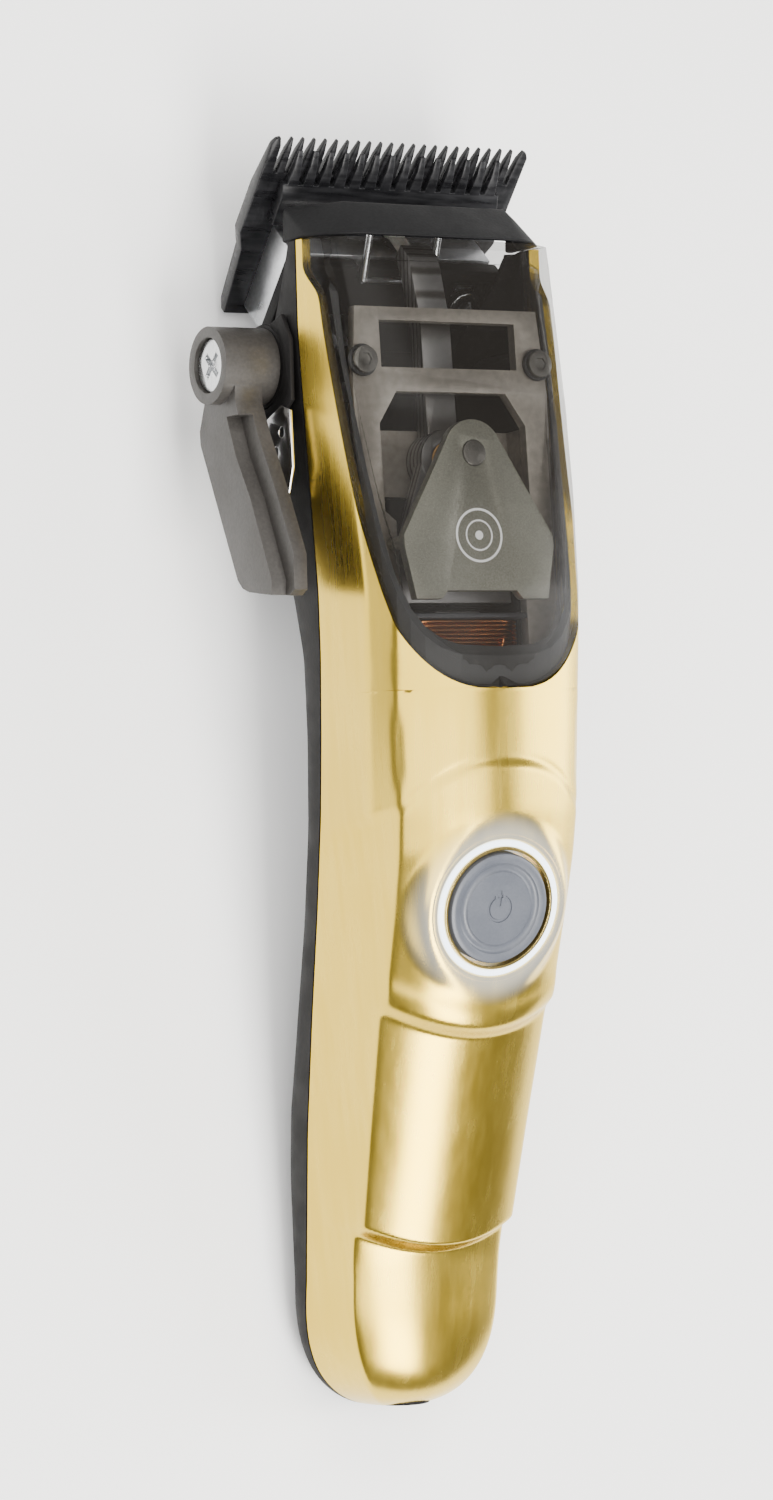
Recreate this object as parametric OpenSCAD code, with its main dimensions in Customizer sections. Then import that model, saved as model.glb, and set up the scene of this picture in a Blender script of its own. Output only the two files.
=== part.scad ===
// Cordless hair clipper, lying on its back: X across (taper lever at -X), Y along with
// the blade at +Y, Z up through the front lid. The origin is the middle of the rear rest land.

/* [Body] */
// Length scale of the tail, from the rest land's middle to the tail's end, mm
tail_length = 23.5; // [21:0.5:26]
// Half width of the body at the window's foot, mm
body_half_width = 19.0; // [18.6:0.1:20]
// Wall thickness of the front lid, mm
lid_wall = 1.6; // [1.2:0.1:2]
// Wall thickness of the back housing, mm
housing_wall = 2.0; // [1.4:0.1:2.2]
// Open line between the lid and the back housing, mm
seam_line = 0.4; // [0.2:0.1:0.8]
// Gap between the window and the lid, mm
window_line = 0.25; // [0.15:0.05:0.5]

/* [Blades] */
// Half width of the comb blade over its corner teeth, mm
blade_half_width = 22.5; // [22:0.1:23]
// Length of the comb blade from tooth tips to heel, mm
blade_length = 31.5; // [29:0.5:32]
// Thickness of the comb blade, mm
blade_thickness = 2.2; // [1.8:0.1:2.4]
// Spacing of the comb blade's teeth, mm
comb_pitch = 1.93; // [1.9:0.01:1.95]
// Spacing of the cutter's teeth, mm
cutter_pitch = 2.67; // [2.4:0.01:2.7]
// How far the cutter's teeth stay behind the comb's tips, mm
cutter_setback = 1.9; // [1.5:0.1:2.6]

/* [Button] */
// Diameter of the power button, mm
button_diameter = 16.6; // [15:0.2:17.2]
// Travel of the power button, mm
button_travel = 0.5; // [0.3:0.1:0.6]

/* [Lever] */
// Radius of the lever's hub, mm
hub_radius = 5.8; // [5.4:0.1:6.4]
// Throw of the lever's cam, mm
cam_throw = 1.6; // [1:0.1:1.8]
// Running gap round turning and sliding pieces, mm
running_gap = 0.05; // [0.03:0.01:0.09]

/* [Power] */
// Diameter of the battery cell, mm
cell_diameter = 18.3; // [17:0.1:18.6]
// Length of the battery cell, mm
cell_length = 49.5; // [45:0.5:50]
// Bore of the charging inlet, mm
inlet_bore = 5.6; // [5:0.1:6]

/* [Hidden] */
tail_end = -tail_length;
eps = 0.01;

// ---- body curves along Y ----
head_end = 151.5;
seam_tab = [[-24, 5.4], [-17.6, 5.9], [-7.9, 7.7], [1.3, 9.3], [19.5, 12.6], [36, 16.6],
  [52.8, 20.5], [66, 23.2], [77.6, 24.9], [90, 25.9], [99.7, 26.1], [117.5, 25.8],
  [138, 25.9], [152, 26.3]];
wide_tab = [[-24, -3.8], [-4, -3.8], [1.3, -3.5], [19.5, -2.5], [36, -1.6], [52.8, -1.0],
  [77.6, -0.1], [99.7, 0.2], [117.5, 1.0], [138, 2.0], [152, 2.1]];
crown_tab = [[-24, 21.2], [-7, 21.2], [-0.5, 21.6], [1, 22.8], [2.5, 25.2], [5.5, 26.4],
  [14.7, 29.3], [24, 32.2], [31.5, 34.6], [34.5, 37], [42, 39.8], [51.9, 43], [60, 45.2],
  [66, 46.2], [70, 46.4], [73, 45.9], [76, 46.1], [84, 46.4], [90, 46.9], [98.7, 47.5],
  [113.7, 45.8], [125.9, 43.2], [138.3, 38.4], [148.8, 35.2], [152, 34]];
round_tab = [[-24, 3], [30, 3], [35, 2.5], [68, 2.4], [76, 3], [84, 3.4], [98, 4], [152, 4]];
back_tab = [[-24, -0.8], [12, -0.8], [22, 0.8], [34, 5], [50, 10], [64, 13], [78, 14.2],
  [90, 13.5], [100, 9.5], [108, 5], [116, 0.6], [121, -0.8], [131, -0.8], [139, 8.5], [152, 19.5]];
cut_tab = [[84, 46.3], [84.6, 45.9], [86, 45.1], [88.5, 43.9], [92, 42.6], [96, 41.3],
  [98.7, 40.4], [104, 38.8], [116.6, 35.8], [127, 33.6], [137.5, 31.7], [142.5, 30.9],
  [147.2, 27.6], [152, 27.0]];
tail_round_from = -4;
function tail_t(y) = min(1, max(0, (tail_round_from - y) / (tail_round_from - tail_end)));
function pinch(y, p) = pow(max(0, 1 - pow(tail_t(y), p)), 1 / p);
function seam_z(y) = lookup(y, seam_tab);
function wide(y) = (body_half_width + lookup(y, wide_tab)) * pinch(y, 2.4);
function rise(y) = (lookup(y, crown_tab) - seam_z(y)) * pinch(y, 3.4);
function sink(y) = (seam_z(y) - lookup(y, back_tab)) * pinch(y, 2.4);
function top_angle(y) = y <= 84 ? 90
  : asin(min(1, pow(min(1, (lookup(y, cut_tab) - seam_z(y)) / rise(y)), lookup(y, round_tab) / 2)));

// one point of the body's skin: side s (-1 or 1), angle a from the seam, wall t inside it
function up_point(y, s, a, t) = let (n = lookup(y, round_tab), w = max(0.02, wide(y) - t),
  h = max(0.02, rise(y) - t))
  [s * w * pow(cos(a), 2 / n), y, seam_z(y) + h * pow(sin(a), 2 / n)];
function down_point(y, s, a, t) = let (n = 3, w = max(0.02, wide(y) - t),
  h = max(0.02, sink(y) - t))
  [s * w * pow(cos(a), 2 / n), y,
    max(t > 0 ? t : 0, seam_z(y) - seam_line - max(0.01, h - seam_line) * pow(sin(a), 2 / n))];

steps = 8;
rear_y = [0, 0.12, 0.35, 0.9, 1.9, 4, 7.5, 12.5, 19.5];
plain_y = [-0.5, 1, 2.5, 5.5, 10, 17, 24, 31.5, 33, 34.5, 42, 51.9, 60, 66, 70, 73, 78, 84];
front_y = [84.6, 86, 88.5, 92, 96, 101, 108, 116, 121, 126, 131, 135, 139, 142.5, 145, 147.2,
  head_end];
lid_y = concat([for (d = rear_y) tail_end + d], plain_y, front_y);
closed_to = len(rear_y) + len(plain_y) - 1;

// a skin of two mirrored halves, joined along the middle up to station k0, outside and inside
module skin(ys, inner_ys, t, k0, kind) {
  m = steps;
  n = len(ys);
  row = 2 * (m + 1);
  function ang(y, j) = (kind == "lid" ? top_angle(y) : 90) * pow(j / m, 1.0);
  function pt(y, s, j, t) = kind == "lid" ? up_point(y, s, ang(y, j), t)
    : down_point(y, s, ang(y, j), t);
  outer = [for (y = ys) for (s = [-1, 1]) for (j = [0:m]) pt(y, s, j, 0)];
  inner = [for (y = inner_ys) for (s = [-1, 1]) for (j = [0:m]) pt(y, s, j, t)];
  function id(i, s, j) = i * row + (s > 0 && !(j == m && i <= k0) ? m + 1 : 0) + j;
  o = n * row;
  skin_faces = [for (i = [0:n - 2]) for (s = [-1, 1]) for (j = [0:m - 1])
    let (a = id(i, s, j), b = id(i + 1, s, j), c = id(i + 1, s, j + 1), d = id(i, s, j + 1),
      flip = (kind == "lid") == (s < 0))
    each flip ? [[a, b, c], [a, c, d], [o + c, o + b, o + a], [o + d, o + c, o + a]]
      : [[c, b, a], [d, c, a], [o + a, o + b, o + c], [o + a, o + c, o + d]]];
  seam_faces = [for (i = [0:n - 2]) for (s = [-1, 1])
    let (a = id(i, s, 0), b = id(i + 1, s, 0), flip = (kind == "lid") == (s < 0))
    each flip ? [[b, a, o + a], [b, o + a, o + b]] : [[a, b, o + a], [b, o + b, o + a]]];
  rim_faces = [for (i = [k0:n - 2]) for (s = [-1, 1])
    let (a = id(i, s, m), b = id(i + 1, s, m), flip = (kind == "lid") == (s < 0))
    if (i >= k0 && k0 < n - 1) each flip ? [[a, b, o + a], [b, o + b, o + a]]
      : [[b, a, o + a], [b, o + a, o + b]]];
  rear_faces = [for (s = [-1, 1]) for (j = [0:m - 1])
    let (a = id(0, s, j), d = id(0, s, j + 1), flip = (kind == "lid") == (s < 0))
    each flip ? [[a, d, o + a], [d, o + d, o + a]] : [[d, a, o + a], [o + d, d, o + a]]];
  end_faces = [for (s = [-1, 1]) for (j = [0:m - 1])
    let (a = id(n - 1, s, j), d = id(n - 1, s, j + 1), flip = (kind == "lid") == (s < 0))
    each flip ? [[d, a, o + a], [o + d, d, o + a]] : [[a, d, o + a], [d, o + d, o + a]]];
  polyhedron(points = concat(outer, inner),
    faces = concat(skin_faces, seam_faces, rim_faces, rear_faces, end_faces), convexity = 6);
}

// the curved patch between the window's two edges, outside and inside
module patch(ys, low, t_out, t_in) {
  m = 14;
  n = len(ys);
  row = m + 1;
  function edge(y) = low >= 0 ? low : min(89.5, top_angle(y) + window_line * 90 / rise(y) / 1.2);
  function pt(y, j, t) = let (a0 = edge(y), s = j / m, a = a0 + (180 - 2 * a0) * s)
    a <= 90 ? up_point(y, -1, a, t) : up_point(y, 1, 180 - a, t);
  outer = [for (y = ys) for (j = [0:m]) pt(y, j, t_out)];
  inner = [for (y = ys) for (j = [0:m]) pt(y, j, t_in)];
  o = n * row;
  faces = concat(
    [for (i = [0:n - 2]) for (j = [0:m - 1])
      let (a = i * row + j, b = a + row, c = b + 1, d = a + 1)
      each [[a, b, c], [a, c, d], [o + c, o + b, o + a], [o + d, o + c, o + a]]],
    [for (i = [0:n - 2]) let (a = i * row, b = a + row)
      each [[b, a, o + a], [b, o + a, o + b]]],
    [for (i = [0:n - 2]) let (a = i * row + m, b = a + row)
      each [[a, b, o + a], [b, o + b, o + a]]],
    [for (j = [0:m - 1]) let (a = j, d = j + 1) each [[a, d, o + a], [d, o + d, o + a]]],
    [for (j = [0:m - 1]) let (a = (n - 1) * row + j, d = a + 1)
      each [[d, a, o + a], [o + d, d, o + a]]]);
  polyhedron(points = concat(outer, inner), faces = faces, convexity = 6);
}

// a side-view outline (Y, Z) stretched across X from x0 to x1
module across(x0, x1, pts) {
  translate([x0, 0, 0]) rotate([90, 0, 90]) linear_extrude(x1 - x0) polygon(pts);
}
module rod_x(x0, x1, r, y = 0, z = 0) {
  translate([x0, y, z]) rotate([0, 90, 0]) cylinder(h = x1 - x0, r = r, $fn = 96);
}
module rod_y(y0, y1, r, x = 0, z = 0) {
  translate([x, y0, z]) rotate([-90, 0, 0]) cylinder(h = y1 - y0, r = r, $fn = 96);
}
module rod(z0, z1, r, x = 0, y = 0) {
  translate([x, y, z0]) cylinder(h = z1 - z0, r = r, $fn = 96);
}
module slab(x0, x1, y0, y1, z0, z1) {
  translate([x0, y0, z0]) cube([x1 - x0, y1 - y0, z1 - z0]);
}

// ---- places ----
tip_y = 167.1;
tip_z = 23.5;
blade_tilt = 41.8;
module at_blade() { translate([0, tip_y, tip_z]) rotate([blade_tilt, 0, 0]) children(); }
hub_y = 133.8;
hub_z = 16;
hub_by = (hub_y - tip_y) * cos(blade_tilt) + (hub_z - tip_z) * sin(blade_tilt);
hub_bz = -(hub_y - tip_y) * sin(blade_tilt) + (hub_z - tip_z) * cos(blade_tilt);
pivot_y = 119;
pivot_z = 40;
motor_tilt = 3;
module at_motor() { translate([0, pivot_y, pivot_z]) rotate([-motor_tilt, 0, 0]) children(); }
button_y = 51.9;
button_z = 42.2;
button_tilt = 14;
module at_button() { translate([0, button_y, button_z]) rotate([button_tilt, 0, 0]) children(); }
cell_y = 2.6;
cell_z = 11.6;
cell_tilt = 11.9;
module at_cell() { translate([0, cell_y, cell_z]) rotate([cell_tilt, 0, 0]) children(); }
inlet_z = 10;
boss_front = [12.8, 64];
boss_rear = [9.5, -9];

// ---- outer pieces ----
ring_outer = button_diameter / 2 + 2;
module front_lid() color("goldenrod") {
  difference() {
    skin(lid_y, [for (i = [0:len(lid_y) - 1]) i < len(rear_y)
      ? lid_y[i] + lid_wall * (1 - i / len(rear_y)) : lid_y[i]], lid_wall, closed_to, "lid");
    at_button() rod(-9, 8, ring_outer + 0.6);
    rod_y(tail_end - 2, tail_end + 8, 4.08, 0, inlet_z);
  }
  at_button() difference() {
    rod(-4.6, 0, ring_outer + 1);
    rod(-3.05, 1, ring_outer);
    rod(-5, 1, 2.15);
  }
  for (s = [-1, 1]) {
    lid_boss(s * boss_front[0], boss_front[1], 24, boss_top(boss_front));
    lid_boss(s * boss_rear[0], boss_rear[1], 11, boss_top(boss_rear));
  }
}
// the height at which a boss ends inside the lid's wall
function boss_top(b) = let (n = lookup(b[1], round_tab))
  seam_z(b[1]) + rise(b[1]) * pow(1 - pow((b[0] + 2.8) / wide(b[1]), n), 1 / n) - lid_wall * 0.7;
module lid_boss(x, y, z0, z1) {
  difference() {
    rod(z0, z1, 2.8, x, y);
    rod(z0 - 1, z1 - 1.2, 1.32, x, y);
  }
}

house_y = concat([for (d = rear_y) tail_end + d],
  [-0.5, 6, 12, 17, 22, 28, 34, 42, 50, 57, 64, 71, 78, 84, 90, 95, 100, 104, 108, 112, 116,
  118.5, 121, 126, 131, 135, 139, 145, head_end]);
seat_top = 7.7;
seat_plate = 2.5;
seat_half = body_half_width - 0.5;
post_x = 15.2;
post_y = 132.9;
rib_end = wide(post_y) - housing_wall * 0.6;
module back_housing() color([0.12, 0.12, 0.13]) difference() {
  union() {
    skin(house_y, [for (i = [0:len(house_y) - 1]) i < len(rear_y)
      ? house_y[i] + housing_wall * (1 - i / len(rear_y)) : house_y[i]], housing_wall,
      len(house_y) - 1, "back");
    for (s = [-1, 1]) {
      rod(16, 23.8, 3.3, s * boss_front[0], boss_front[1]);
      rod(2, 10.8, 3.1, s * boss_rear[0], boss_rear[1]);
      rod(20.2, 32, 2.6, s * post_x, post_y);
      slab(s > 0 ? post_x : -rib_end, s > 0 ? rib_end : -post_x, post_y - 1.2, post_y + 1.2, 20.2, 25);
    }
  }
  at_blade() slab(-seat_half - 0.1, seat_half + 0.1, -31.2, 10, -8, seat_top + seat_plate + 0.1);
  at_blade() slab(1.1 - seat_half, seat_half - 1.1, -31.2, 10, -8, seat_top + seat_plate + 1);
  rod_x(hub_back - 4, -10, hub_radius + 0.65, hub_y, hub_z);
  for (s = [-1, 1]) {
    rod(-1, 30, 1.5, s * boss_front[0], boss_front[1]);
    rod(-1, 19.2, 2.5, s * boss_front[0], boss_front[1]);
    rod(-2, 30, 1.5, s * boss_rear[0], boss_rear[1]);
    rod(-2, 4, 2.5, s * boss_rear[0], boss_rear[1]);
    at_motor() rod(-17.5, 0, 1.3, s * post_x, 14.25);
  }
}

module housing_screws() color("silver") for (s = [-1, 1]) {
  screw(s * boss_front[0], boss_front[1], 17.55, 33);
  screw(s * boss_rear[0], boss_rear[1], 2.35, 15);
}
module screw(x, y, z0, z1) {
  difference() {
    union() {
      rod(z0, z0 + 1.6, 2.3, x, y);
      rod(z0 + 1, z1, 1.28, x, y);
    }
    translate([x, y, z0 - 0.01]) cylinder(h = 1.1, r = 1.1, $fn = 6);
  }
}

window_y = [84.75, 85.2, 86, 87.2, 88.5, 90, 92, 96, 101, 108, 116, 121, 126, 131, 135, 139,
  142.5, 145, 147.2, head_end];
window_wall = 1.5;
module window() color([0.45, 0.42, 0.4, 0.5]) patch(window_y, -1, 0, window_wall);

gasket_y = [for (y = [83.2, 84.4, 85.6, 87, 89, 92, 96, 101, 108, 116, 126, 135, 145, 151.3]) y];
module window_gasket() color([0.05, 0.05, 0.05]) intersection() {
  patch(gasket_y, 20, lid_wall + 0.26, lid_wall + 0.95);
  across(-25, 25, concat([[82.6, 46.6]], [for (c = cut_tab) [c[0] + 0.9, c[1] + 0.75]],
    [for (i = [len(cut_tab) - 1:-1:0]) [cut_tab[i][0] - 0.9, cut_tab[i][1] - 1.5]]));
}

nose_half = body_half_width + 1.4;
module nose_cover() color([0.16, 0.16, 0.17]) difference() {
  hull() {
    across(-nose_half, nose_half, [[151.75, 20.8], [151.75, 28.2], [157, 21.4]]);
    across(2.8 - nose_half, nose_half - 2.8, [[151.75, 31.6], [151.75, 28.2], [155.8, 24.8]]);
    across(6.4 - nose_half, nose_half - 6.4, [[151.75, 33.8], [151.75, 28.2], [157.3, 28.6], [157.3, 26]]);
  }
  hull() {
    across(1.6 - nose_half, nose_half - 1.6, [[149, 19], [149, 27.6], [155.8, 20.6], [155.8, 15]]);
    across(7.2 - nose_half, nose_half - 7.2, [[149, 32.4], [149, 28.2], [151.75, 32.2], [156, 27.6], [156, 18]]);
  }
  at_blade() slab(-25, 25, -25, 8, -4, 2.75);
  at_blade() slab(-19, 19, -25, 8, -4, 4.6);
}

// ---- blades ----
comb_root = -6.2;
corner_in = 20.6;
module fixed_blade() color([0.08, 0.08, 0.09]) at_blade() difference() {
  translate([0, 0, -blade_thickness]) linear_extrude(blade_thickness) difference() {
    union() {
      polygon([[-20.4, -blade_length], [20.4, -blade_length], [21.3, -20], [blade_half_width, -17],
        [blade_half_width, comb_root], [-blade_half_width, comb_root],
        [-blade_half_width, -17], [-21.3, -20]]);
      for (i = [-10:10]) translate([i * comb_pitch, 0])
        polygon([[-0.62, comb_root - 0.5], [0.62, comb_root - 0.5], [0.5, -2.2], [0.16, 0],
          [-0.16, 0], [-0.5, -2.2]]);
      for (s = [-1, 1]) polygon([[s * corner_in, comb_root - 0.5],
        [s * blade_half_width, comb_root - 0.5], [s * blade_half_width, -1.2],
        [s * (blade_half_width - 0.5), -0.3], [s * (blade_half_width - 1.2), 0],
        [s * (corner_in + 0.2), -1.6]]);
    }
    for (s = [-1, 1]) translate([s * 8, -23]) circle(r = 1.55, $fn = 64);
  }
  across(-30, 30, [[1, -blade_thickness - 1], [-9, -blade_thickness - 1], [-9, -blade_thickness],
    [0, -0.65], [1, -0.5]]);
  across(-30, 30, [[-blade_length - 1, -blade_thickness - 1], [-blade_length - 1, -1],
    [-blade_length, -1.2], [-blade_length + 1.6, -blade_thickness],
    [-blade_length + 1.6, -blade_thickness - 1]]);
  for (s = [-1, 1]) rod(-blade_thickness - 1, -0.9, 2.85, s * 8, -23);
}
cutter_back = -14;
cutter_half = 19;
module cutter_blade() color([0.1, 0.1, 0.11]) at_blade() intersection() {
  translate([0, 0, 0.02]) linear_extrude(4) union() {
    polygon([[-cutter_half, cutter_back], [cutter_half, cutter_back], [cutter_half, -7.3],
      [-cutter_half, -7.3]]);
    for (i = [-6.5:6.5]) translate([i * cutter_pitch, 0])
      polygon([[-0.95, -7.6], [0.95, -7.6], [0.42, -cutter_setback], [-0.42, -cutter_setback]]);
  }
  across(-25, 25, [[-cutter_setback + 0.01, 0], [-cutter_setback, 0.3], [-4, 0.95], [-7.6, 1.35],
    [-9, 2.2], [cutter_back, 2.2], [cutter_back, 0]]);
}
module drive_block() color([0.2, 0.2, 0.21]) at_blade() difference() {
  slab(-7.5, 7.5, -14, -10.7, 2.24, 5.4);
  slab(-drive_ball - running_gap, drive_ball + running_gap, -15, -8, 2.7, 7);
}
module blade_screws() color([0.75, 0.75, 0.76]) at_blade() for (s = [-1, 1]) difference() {
  union() {
    rod(-blade_thickness + 0.15, -0.95, 2.75, s * 8, -23);
    rod(-1.5, 5.6, 1.45, s * 8, -23);
  }
  translate([s * 8, -23, -blade_thickness]) cylinder(h = 0.9, r = 1.2, $fn = 6);
}
carrier_top = 7.4;
lug_in = [-9.1, -4.3];
pin_angle = -95;
pin_r = 1.5;
slot_y = hub_by + cam_throw * cos(pin_angle);
module blade_carrier() color([0.72, 0.72, 0.73]) at_blade() difference() {
  union() {
    slab(-17.5, 17.5, -30, -15.3, 0.03, carrier_top);
    across(lug_in[0], lug_in[1], [[-29.9, 6], [-25.8, 6], [-25.8, hub_bz + 2.9],
      [-33.7, hub_bz + 2.9], [-33.7, 12.4], [-31, 9.6], [-29.9, 8.6]]);
  }
  slab(-20, 0, slot_y - pin_r - 0.04, slot_y + pin_r + 0.04, hub_bz - 4.2, hub_bz + 1.1);
  for (s = [-1, 1]) {
    rod(-1, 5.8, 1.47, s * 8, -23);
    rod(2.4, 9, 1.32, s * 14, -22);
  }
}
module blade_seat() color([0.13, 0.13, 0.14]) at_blade() difference() {
  slab(-seat_half, seat_half, -31, -15.6, seat_top, seat_top + seat_plate);
  slab(lug_in[0] - 0.35, lug_in[1] + 0.35, -36, -24.4, 5, 12);
  for (s = [-1, 1]) {
    slab(s * 14 - 1.75, s * 14 + 1.75, -24.9, -19.1, 5, 12);
    slab(s * 14 - 3, s * 14 + 3, -26.2, -17.8, seat_top + 1.3, 12);
    slab(s * 6 - 0.8, s * 6 + 0.8, -17.8, -14, 5, 12);
  }
}
module seat_screws() color([0.7, 0.7, 0.71]) at_blade() for (s = [-1, 1]) difference() {
  union() {
    rod(2.6, seat_top + 1.6, 1.28, s * 14, -22);
    rod(seat_top + 1.35, seat_top + 2.9, 2.7, s * 14, -22);
  }
  translate([s * 14, -22, seat_top + 2.1]) cylinder(h = 2, r = 1.2, $fn = 6);
}
module tension_spring() color([0.8, 0.8, 0.8]) at_blade() {
  z = seat_top + seat_plate + 0.65;
  rod_x(-6, 6, 0.6, -17.4, z);
  for (s = [-1, 1]) {
    translate([s * 6, -17.4, z]) sphere(r = 0.62, $fn = 48);
    translate([s * 6, -17.4, z]) rotate([-111.3, 0, 0]) rotate([0, 0, 0]) cylinder(h = 7, r = 0.6, $fn = 48);
  }
}

// ---- taper lever ----
arm_in = -(body_half_width + 5.6);
arm_out = -(body_half_width + 10.2);
hub_face = -(body_half_width + 12);
hub_back = -(body_half_width + 2.85);
module taper_lever() color([0.15, 0.15, 0.16]) difference() {
  union() {
    rod_x(hub_face, hub_back, hub_radius, hub_y, hub_z);
    across(arm_out, arm_in, [[131, 20.8], [136, 14], [130, 11.8], [128.2, 11.2], [124.6, 9.6],
      [122.5, 9.7], [101.6, 19.6], [100.3, 21], [99.6, 23], [98.6, 30.6], [99.4, 32.2],
      [104.6, 32.3], [113.7, 28], [123.7, 22.6], [128, 20.8]]);
  }
  rod_x(hub_face - 4, hub_back + 2, 2.1, hub_y, hub_z);
  rod_x(hub_face - 4, hub_face + 2.8, 4.15, hub_y, hub_z);
  across(hub_face - 4, arm_out + 2.4, [[97, 29.5], [101, 29.8], [113.2, 24.4], [120, 20.4], [126, 18],
    [126, 34], [97, 38]]);
}
module lever_screw() color([0.82, 0.82, 0.82]) difference() {
  union() {
    rod_x(hub_face + 0.6, hub_face + 2.8, 4.0, hub_y, hub_z);
    rod_x(hub_face + 2, -13, 2.0, hub_y, hub_z);
  }
  translate([hub_face + 1.1, hub_y, hub_z]) for (a = [0, 90]) rotate([45 + a, 0, 0])
    slab(-2, 0.6, -2.3, 2.3, -0.45, 0.45);
}
cam_r = 3.6;
module cam_shaft() color([0.65, 0.65, 0.66]) difference() {
  union() {
    rod_x(hub_back + 0.1, -9.3, cam_r, hub_y, hub_z);
    at_blade() rod_x(-9.4, -4.4, pin_r, hub_by + cam_throw * cos(pin_angle),
      hub_bz + cam_throw * sin(pin_angle));
  }
  rod_x(hub_back - 3, -12.5, 2.04, hub_y, hub_z);
}
module lever_bushing() color([0.1, 0.1, 0.1]) difference() {
  rod_x(hub_back + 0.15, hub_back + 3.15, hub_radius + 0.6, hub_y, hub_z);
  rod_x(hub_back - 3, hub_back + 7, cam_r + running_gap, hub_y, hub_z);
}
module detent_holder() color([0.1, 0.1, 0.11]) difference() {
  across(hub_back - 0.05, hub_back + 0.65, [[124, 10.5], [124, 19], [128, 24.6], [137, 24.8], [141, 22.5], [138, 13.5],
    [131, 8.5]]);
  rod_x(hub_back - 5, hub_back + 5, hub_radius + 0.75, hub_y, hub_z);
}
module detent_leaf() color([0.8, 0.8, 0.8]) difference() {
  across(hub_back - 0.55, hub_back - 0.1, [[113.5, 16], [113.5, 23.5], [118, 25.2], [126.5, 25], [127.4, 22.4],
    [125.6, 17.8]]);
  for (p = [[123.4, 22.2], [120.6, 20.4]]) rod_x(hub_back - 5, hub_back + 5, 0.8, p[0], p[1]);
}

// ---- drive ----
drive_ball = 1.5;
ball_y = -12.3;
ball_z = 4.3;
module motor_frame() color([0.5, 0.47, 0.42]) at_motor() difference() {
  union() {
    translate([0, 0, -7]) linear_extrude(1.8) difference() {
      polygon([[-16.6, -12], [-15.6, -35.4], [15.6, -35.4], [16.6, -12], [16.9, 10], [15.8, 22.4],
        [-15.8, 22.4], [-16.9, 10]]);
      polygon([[-10.9, -33.7], [10.9, -33.7], [10.9, -9.5], [12.7, -8], [12.7, 5], [9.5, 9.8],
        [-9.5, 9.8], [-12.7, 5], [-12.7, -8], [-10.9, -9.5]]);
      polygon([[-11.8, 13.4], [11.8, 13.4], [11.8, 20.4], [-11.8, 20.4]]);
      for (s = [-1, 1]) translate([s * post_x, 14.25]) circle(r = 1.4, $fn = 64);
    }
    for (s = [-1, 1]) slab(s > 0 ? 13.6 : -15.2, s > 0 ? 15.2 : -13.6, -5, 5, -13.4, -6.5);
    slab(-15.2, 15.2, -5, 5, -13.4, -12);
  }
  rod(-14, 2, 2.0);
}
module frame_screws() color([0.75, 0.75, 0.75]) for (s = [-1, 1]) at_motor() difference() {
  union() {
    rod(-4.5, -3.7, 2.0, s * post_x, 14.25);
    rod(-14, -4, 1.2, s * post_x, 14.25);
  }
  translate([s * post_x, 14.25, -4.1]) cylinder(h = 2, r = 1.0, $fn = 6);
}
module frame_washers() color([0.1, 0.1, 0.1]) for (s = [-1, 1]) at_motor() difference() {
  rod(-5.17, -4.53, 2.4, s * post_x, 14.25);
  rod(-6, -3, 1.25, s * post_x, 14.25);
}
module motor_cover() color([0.52, 0.49, 0.45]) at_motor() difference() {
  union() {
    translate([0, 0, -1.6]) linear_extrude(1.6) union() {
      circle(r = 5, $fn = 96);
      polygon([[-4.6, 1.9], [-12.9, -12.2], [-12.9, -14], [-11.4, -21.6], [-7, -21.6], [-6, -20.4],
        [6, -20.4], [7, -21.6], [11.4, -21.6], [12.9, -14], [12.9, -12.2], [4.6, 1.9]]);
    }
    for (s = [-1, 1]) rod(-5.15, -1, 1.0, s * 11.85, -13);
  }
  rod(-3, 1, 2.0);
}
module pivot_pin() color([0.7, 0.7, 0.7]) at_motor() rod(-13.3, 0.25, 1.98);
module pivot_bushes() color("peru") at_motor() for (z = [[-11.9, -9.7], [-9.2, -7.2]]) difference() {
  rod(z[0], z[1], 2.75);
  rod(z[0] - 1, z[1] + 1, 1.98 + running_gap);
}
module armature_arm() color([0.3, 0.3, 0.32]) difference() {
  union() {
    at_motor() {
      rod(-11.8, -7.3, 4.6);
      translate([0, 0, -9.5]) linear_extrude(2.1)
        polygon([[-4, 1], [-9.6, -14.5], [-9.6, -21.4], [9.6, -21.4], [9.6, -14.5], [4, 1]]);
    }
    across(-2.6, 2.6, [[120, 28.6], [120, 31.6], [140, 30.4], [149.6, 27.8], [151.6, 25.6],
      [149.8, 23.8], [147.6, 25], [139, 27.6]]);
  }
  at_motor() rod(-15, -3, 2.78);
  at_blade() rod_z_blade();
}
module rod_z_blade() { rod(8, 14.5, 1.12, 0, ball_y); }
module drive_tip() color([0.85, 0.85, 0.8]) at_blade() {
  rod(ball_z, 13.2, 1.1, 0, ball_y);
  translate([0, ball_y, ball_z]) sphere(r = drive_ball, $fn = 96);
}
module arm_magnets() color([0.6, 0.6, 0.62]) at_motor() for (s = [-1, 1])
  slab(s * 5 - 3.6, s * 5 + 3.6, -21.4, -16.4, -13, -9.55);
module magnet_core() color([0.35, 0.35, 0.37]) at_motor() translate([0, 0, -13])
  linear_extrude(5.7) polygon([[-14, -37], [14, -37], [14, -22.6], [11.2, -22.6], [11.2, -33.4],
  [3.9, -33.4], [3.9, -22.6], [-3.9, -22.6], [-3.9, -33.4], [-11.2, -33.4], [-11.2, -22.6],
  [-14, -22.6]]);
former_y = [-33.2, -23.2];
module coil_former() color([0.16, 0.17, 0.22]) at_motor() difference() {
  union() {
    slab(-4.7, 4.7, former_y[0], former_y[1], -13.9, -6.4);
    slab(-10.3, 10.3, former_y[0], former_y[0] + 0.8, -16.2, -4.1);
    slab(-10.3, 10.3, former_y[1] - 0.8, former_y[1], -16.2, -4.1);
  }
  slab(-3.95, 3.95, -40, -20, -13.05, -7.25);
}
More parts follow.
